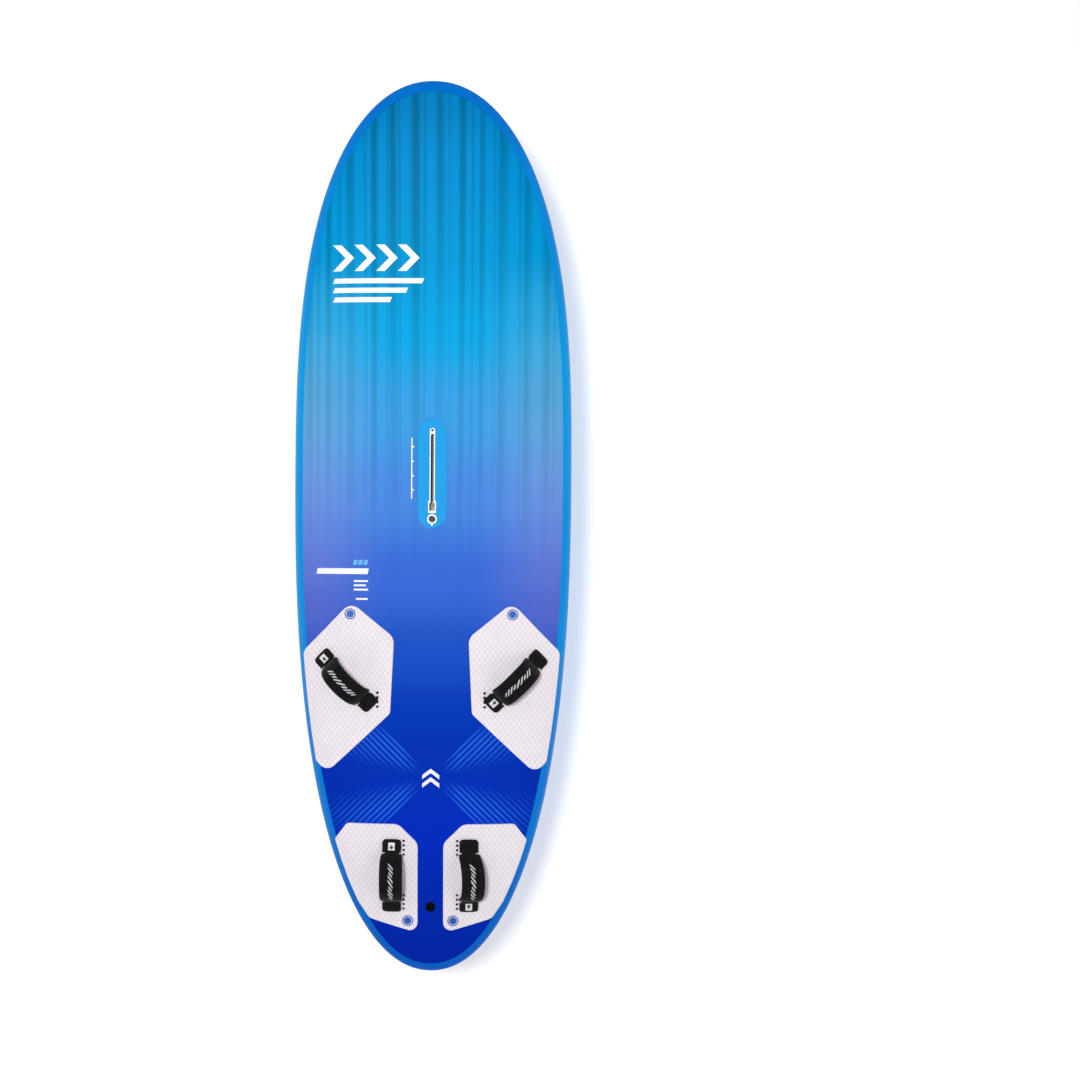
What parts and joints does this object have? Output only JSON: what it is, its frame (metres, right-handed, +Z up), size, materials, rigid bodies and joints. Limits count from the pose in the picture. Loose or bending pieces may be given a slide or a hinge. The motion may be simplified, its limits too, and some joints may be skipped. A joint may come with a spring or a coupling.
{
  "type": "windsurf board",
  "caption": "Wide windsurf board: sandwich hull with rocker, mast track, vent screw, embossed deck pads, padded foot straps and a bolted fin that slides out of its box.",
  "frame": {"origin": "centreline of the hull's flat bottom at mid length", "axes": "+Y towards the nose, +X towards starboard, +Z up through the deck"},
  "size_m": [0.79, 2.5, 0.6817],
  "materials": {
    "deck_laminate": "painted laminate with a fine non-skid texture, teal to deep blue",
    "bottom_laminate": "satin painted laminate",
    "foam": "expanded foam",
    "track_plate": "satin moulded plastic",
    "track_box": "satin moulded plastic",
    "pad_foam": "soft embossed EVA foam",
    "strap_cover": "padded knit over neoprene",
    "strap_flap": "soft moulded rubber",
    "webbing": "woven nylon",
    "strap_plate": "moulded nylon",
    "insert": "moulded plastic",
    "stainless_steel": "turned steel",
    "vent_bushing": "satin moulded plastic",
    "vent_screw": "moulded nylon",
    "seal_rubber": "rubber",
    "fin_box": "satin moulded plastic",
    "fin_head": "cast resin",
    "fin_blade": "polished composite",
    "fin_bushing": "moulded nylon"
  },
  "bodies": {
    "board": {"bottom_shell": "bottom_laminate", "deck_pad_front_port": "pad_foam", "deck_pad_front_starboard": "pad_foam", "deck_pad_rear_port": "pad_foam", "deck_pad_rear_starboard": "pad_foam", "deck_shell": "deck_laminate", "fin_box": "fin_box", "fin_screw_bushing": "fin_bushing", "foam_core": "foam", "mast_track_box": "track_box", "mast_track_plate": "track_plate", "strap_flap_front_port_front": "strap_flap", "strap_flap_front_port_rear": "strap_flap", "strap_flap_front_starboard_front": "strap_flap", "strap_flap_front_starboard_rear": "strap_flap", "strap_flap_rear_port_front": "strap_flap", "strap_flap_rear_port_rear": "strap_flap", "strap_flap_rear_starboard_front": "strap_flap", "strap_flap_rear_starboard_rear": "strap_flap", "strap_insert_front_port_front": "insert", "strap_insert_front_port_rear": "insert", "strap_insert_front_starboard_front": "insert", "strap_insert_front_starboard_rear": "insert", "strap_insert_rear_port_front": "insert", "strap_insert_rear_port_rear": "insert", "strap_insert_rear_starboard_front": "insert", "strap_insert_rear_starboard_rear": "insert", "strap_plate_front_port_front": "strap_plate", "strap_plate_front_port_rear": "strap_plate", "strap_plate_front_starboard_front": "strap_plate", "strap_plate_front_starboard_rear": "strap_plate", "strap_plate_rear_port_front": "strap_plate", "strap_plate_rear_port_rear": "strap_plate", "strap_plate_rear_starboard_front": "strap_plate", "strap_plate_rear_starboard_rear": "strap_plate", "strap_screw_front_port_front": "stainless_steel", "strap_screw_front_port_rear": "stainless_steel", "strap_screw_front_starboard_front": "stainless_steel", "strap_screw_front_starboard_rear": "stainless_steel", "strap_screw_rear_port_front": "stainless_steel", "strap_screw_rear_port_rear": "stainless_steel", "strap_screw_rear_starboard_front": "stainless_steel", "strap_screw_rear_starboard_rear": "stainless_steel", "strap_webbing_front_port": "webbing", "strap_webbing_front_starboard": "webbing", "strap_webbing_rear_port": "webbing", "strap_webbing_rear_starboard": "webbing", "vent_bushing": "vent_bushing"},
    "vent_seal": {"vent_o_ring": "seal_rubber"},
    "vent_screw": {"vent_screw": "vent_screw"},
    "fin_washer": {"fin_screw_washer": "stainless_steel"},
    "fin_screw": {"fin_screw": "stainless_steel"},
    "fin": {"fin_head": "fin_head", "fin_blade": "fin_blade", "fin_barrel_nut": "stainless_steel"},
    "strap_front_port": {"strap_cover_front_port": "strap_cover"},
    "strap_front_starboard": {"strap_cover_front_starboard": "strap_cover"},
    "strap_rear_port": {"strap_cover_rear_port": "strap_cover"},
    "strap_rear_starboard": {"strap_cover_rear_starboard": "strap_cover"}
  },
  "joints": [
    {"name": "vent_turn", "type": "hinge", "parent": "vent_seal", "child": "vent_screw", "pos_m": [0, 0.0431, 0.15058], "axis": [0, 0, 1], "range_deg": [0, 1442]},
    {"name": "vent_lift", "type": "slide", "parent": "board", "child": "vent_seal", "axis": [0, 0, 1], "range_m": [0, 0.006]},
    {"name": "fin_screw_turn", "type": "hinge", "parent": "fin_washer", "child": "fin_screw", "pos_m": [0, -1.054, 0.10198], "axis": [0, 0, 1], "range_deg": [0, 4324]},
    {"name": "fin_screw_lift", "type": "slide", "parent": "board", "child": "fin_washer", "axis": [0, 0, 1], "range_m": [0, 0.018]},
    {"name": "fin_withdraw", "type": "slide", "parent": "board", "child": "fin", "axis": [0, 0, -1], "range_m": [0, 0.065]},
    {"name": "strap_lean_front_port", "type": "hinge", "parent": "board", "child": "strap_front_port", "pos_m": [-0.23637, -0.4084, 0.1442], "axis": [-0.7111, 0.7012, -0.0516], "range_deg": [-15, 15], "stiffness_Nm_per_rad": 6, "deforming": ["strap_webbing_front_port"]},
    {"name": "strap_lean_front_starboard", "type": "hinge", "parent": "board", "child": "strap_front_starboard", "pos_m": [0.23637, -0.4084, 0.1442], "axis": [0.7111, 0.7012, -0.0516], "range_deg": [-15, 15], "stiffness_Nm_per_rad": 6, "deforming": ["strap_webbing_front_starboard"]},
    {"name": "strap_lean_rear_port", "type": "hinge", "parent": "board", "child": "strap_rear_port", "pos_m": [-0.10815, -0.96103, 0.11846], "axis": [0.0022, 0.9955, 0.0947], "range_deg": [-15, 15], "stiffness_Nm_per_rad": 6, "deforming": ["strap_webbing_rear_port"]},
    {"name": "strap_lean_rear_starboard", "type": "hinge", "parent": "board", "child": "strap_rear_starboard", "pos_m": [0.10815, -0.96103, 0.11846], "axis": [-0.0022, 0.9955, 0.0947], "range_deg": [-15, 15], "stiffness_Nm_per_rad": 6, "deforming": ["strap_webbing_rear_starboard"]}
  ],
  "couplings": [
    {"joint": "vent_turn", "follows": "vent_lift", "rad_per_m": 4188.8},
    {"joint": "fin_screw_turn", "follows": "fin_screw_lift", "rad_per_m": 4188.8}
  ]
}
